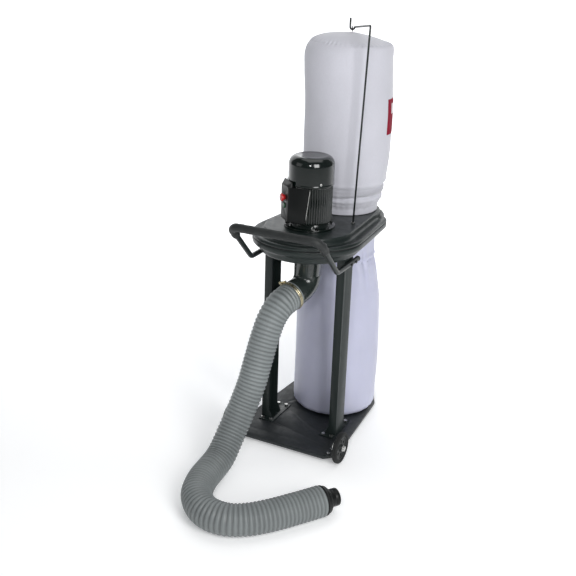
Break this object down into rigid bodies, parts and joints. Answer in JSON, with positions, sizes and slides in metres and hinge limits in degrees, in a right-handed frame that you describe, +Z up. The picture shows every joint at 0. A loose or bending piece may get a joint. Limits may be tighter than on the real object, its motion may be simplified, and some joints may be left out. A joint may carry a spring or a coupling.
{
  "type": "dust collector",
  "caption": "Portable workshop dust collector: vertical motor on a fan housing with a filter bag above, a collection bag below, a wheeled base and a corrugated inlet hose.",
  "frame": {"origin": "floor level, in the middle of the machine's width and depth without its hose", "axes": "+X to the machine's right, +Y to the back (bag side), +Z up"},
  "size_m": [0.6182, 1.2571, 1.536],
  "materials": {
    "frame_paint": "semi-gloss dark green-grey paint on sheet steel",
    "slate_paint": "semi-gloss dark slate paint on sheet steel",
    "black_paint": "gloss black paint",
    "motor_paint": "high-gloss black-green paint",
    "pipe_paint": "gloss black paint",
    "zinc_steel": "bright zinc plated steel",
    "black_steel": "black oxide steel",
    "yellow_zinc": "yellow zinc plated steel",
    "bare_steel": "ground steel",
    "lamination_steel": "stacked electrical steel",
    "copper_winding": "lacquered copper winding and laminations",
    "bare_aluminium": "cast aluminium",
    "tyre": "matt black rubber",
    "hub_plastic": "moulded dark plastic",
    "rubber": "matt black rubber",
    "foam_rubber": "closed-cell foam rubber",
    "black_plastic": "fine-grained moulded black plastic",
    "green_plastic": "moulded green plastic",
    "red_plastic": "moulded red plastic",
    "pale_plastic": "pale plastic can",
    "filter_cloth": "needle-felt filter cloth",
    "black_webbing": "woven polyester webbing",
    "red_label": "plain red and white printed cloth patch with no lettering",
    "sack_plastic": "thin translucent polythene film",
    "hose_plastic": "grey corrugated flexible plastic"
  },
  "bodies": {
    "frame": {"base_plate": "slate_paint", "rear_feet": "rubber", "foot_screws": "zinc_steel", "left_leg": "frame_paint", "right_leg": "frame_paint", "leg_bolts": "zinc_steel", "wheel_brackets": "black_paint", "wheel_axles": "zinc_steel", "axle_nuts": "zinc_steel", "housing_lower": "frame_paint", "housing_upper": "frame_paint", "housing_seal": "rubber", "housing_bolts": "black_steel", "inlet_pipe": "pipe_paint", "inlet_elbow": "pipe_paint", "inlet_bolts": "black_steel", "stator_core": "copper_winding", "motor_frame": "motor_paint", "drive_end_shield": "motor_paint", "rear_end_shield": "motor_paint", "drive_bearing": "bare_steel", "rear_bearing": "bare_steel", "fan_cowl": "motor_paint", "cowl_screws": "zinc_steel", "motor_bolts": "black_steel", "switch_box": "black_plastic", "switch_plate": "black_plastic", "switch_block": "black_plastic", "run_capacitor": "pale_plastic", "cable_gland": "black_plastic", "handle_tube": "black_paint", "handle_grip": "foam_rubber", "handle_bolts": "black_steel", "hanger_rod": "black_paint", "hanger_nuts": "zinc_steel", "filter_bag": "filter_cloth", "bag_tab": "black_webbing", "bag_label": "red_label", "filter_strap": "zinc_steel", "collection_bag": "sack_plastic", "sack_strap": "zinc_steel", "hose_sleeve": "hose_plastic", "hose_clamp": "yellow_zinc", "hose": "hose_plastic", "hose_cuff": "black_plastic", "hose_nozzle": "black_plastic"},
    "rotor": {"motor_shaft": "bare_steel", "rotor_core": "lamination_steel", "impeller": "bare_aluminium", "impeller_nut": "zinc_steel", "cooling_fan": "black_plastic"},
    "left_wheel": {"left_wheel_tyre": "tyre", "left_wheel_hub": "hub_plastic"},
    "right_wheel": {"right_wheel_tyre": "tyre", "right_wheel_hub": "hub_plastic"},
    "start": {"start_button": "green_plastic"},
    "stop": {"stop_button": "red_plastic"},
    "filter_buckle": {"filter_lever": "zinc_steel"},
    "sack_buckle": {"sack_lever": "zinc_steel"}
  },
  "joints": [
    {"name": "rotor_spin", "type": "hinge", "parent": "frame", "child": "rotor", "pos_m": [0, -0.093, 0.9], "axis": [0, 0, 1], "continuous": true},
    {"name": "left_wheel_spin", "type": "hinge", "parent": "frame", "child": "left_wheel", "pos_m": [-0.231, -0.244, 0.059], "axis": [1, 0, 0], "continuous": true},
    {"name": "right_wheel_spin", "type": "hinge", "parent": "frame", "child": "right_wheel", "pos_m": [0.231, -0.244, 0.059], "axis": [1, 0, 0], "continuous": true},
    {"name": "start_press", "type": "slide", "parent": "frame", "child": "start", "axis": [0.6947, 0.7193, 0], "range_m": [0, 0.003], "stiffness_N_per_m": 200},
    {"name": "stop_press", "type": "slide", "parent": "frame", "child": "stop", "axis": [0.6947, 0.7193, 0], "range_m": [0, 0.004], "stiffness_N_per_m": 200},
    {"name": "filter_buckle_open", "type": "hinge", "parent": "frame", "child": "filter_buckle", "pos_m": [-0.1323, 0.195, 0.843], "axis": [0, 0, 1], "range_deg": [0, 150]},
    {"name": "sack_buckle_open", "type": "hinge", "parent": "frame", "child": "sack_buckle", "pos_m": [-0.1323, 0.195, 0.723], "axis": [0, 0, 1], "range_deg": [0, 150]}
  ]
}
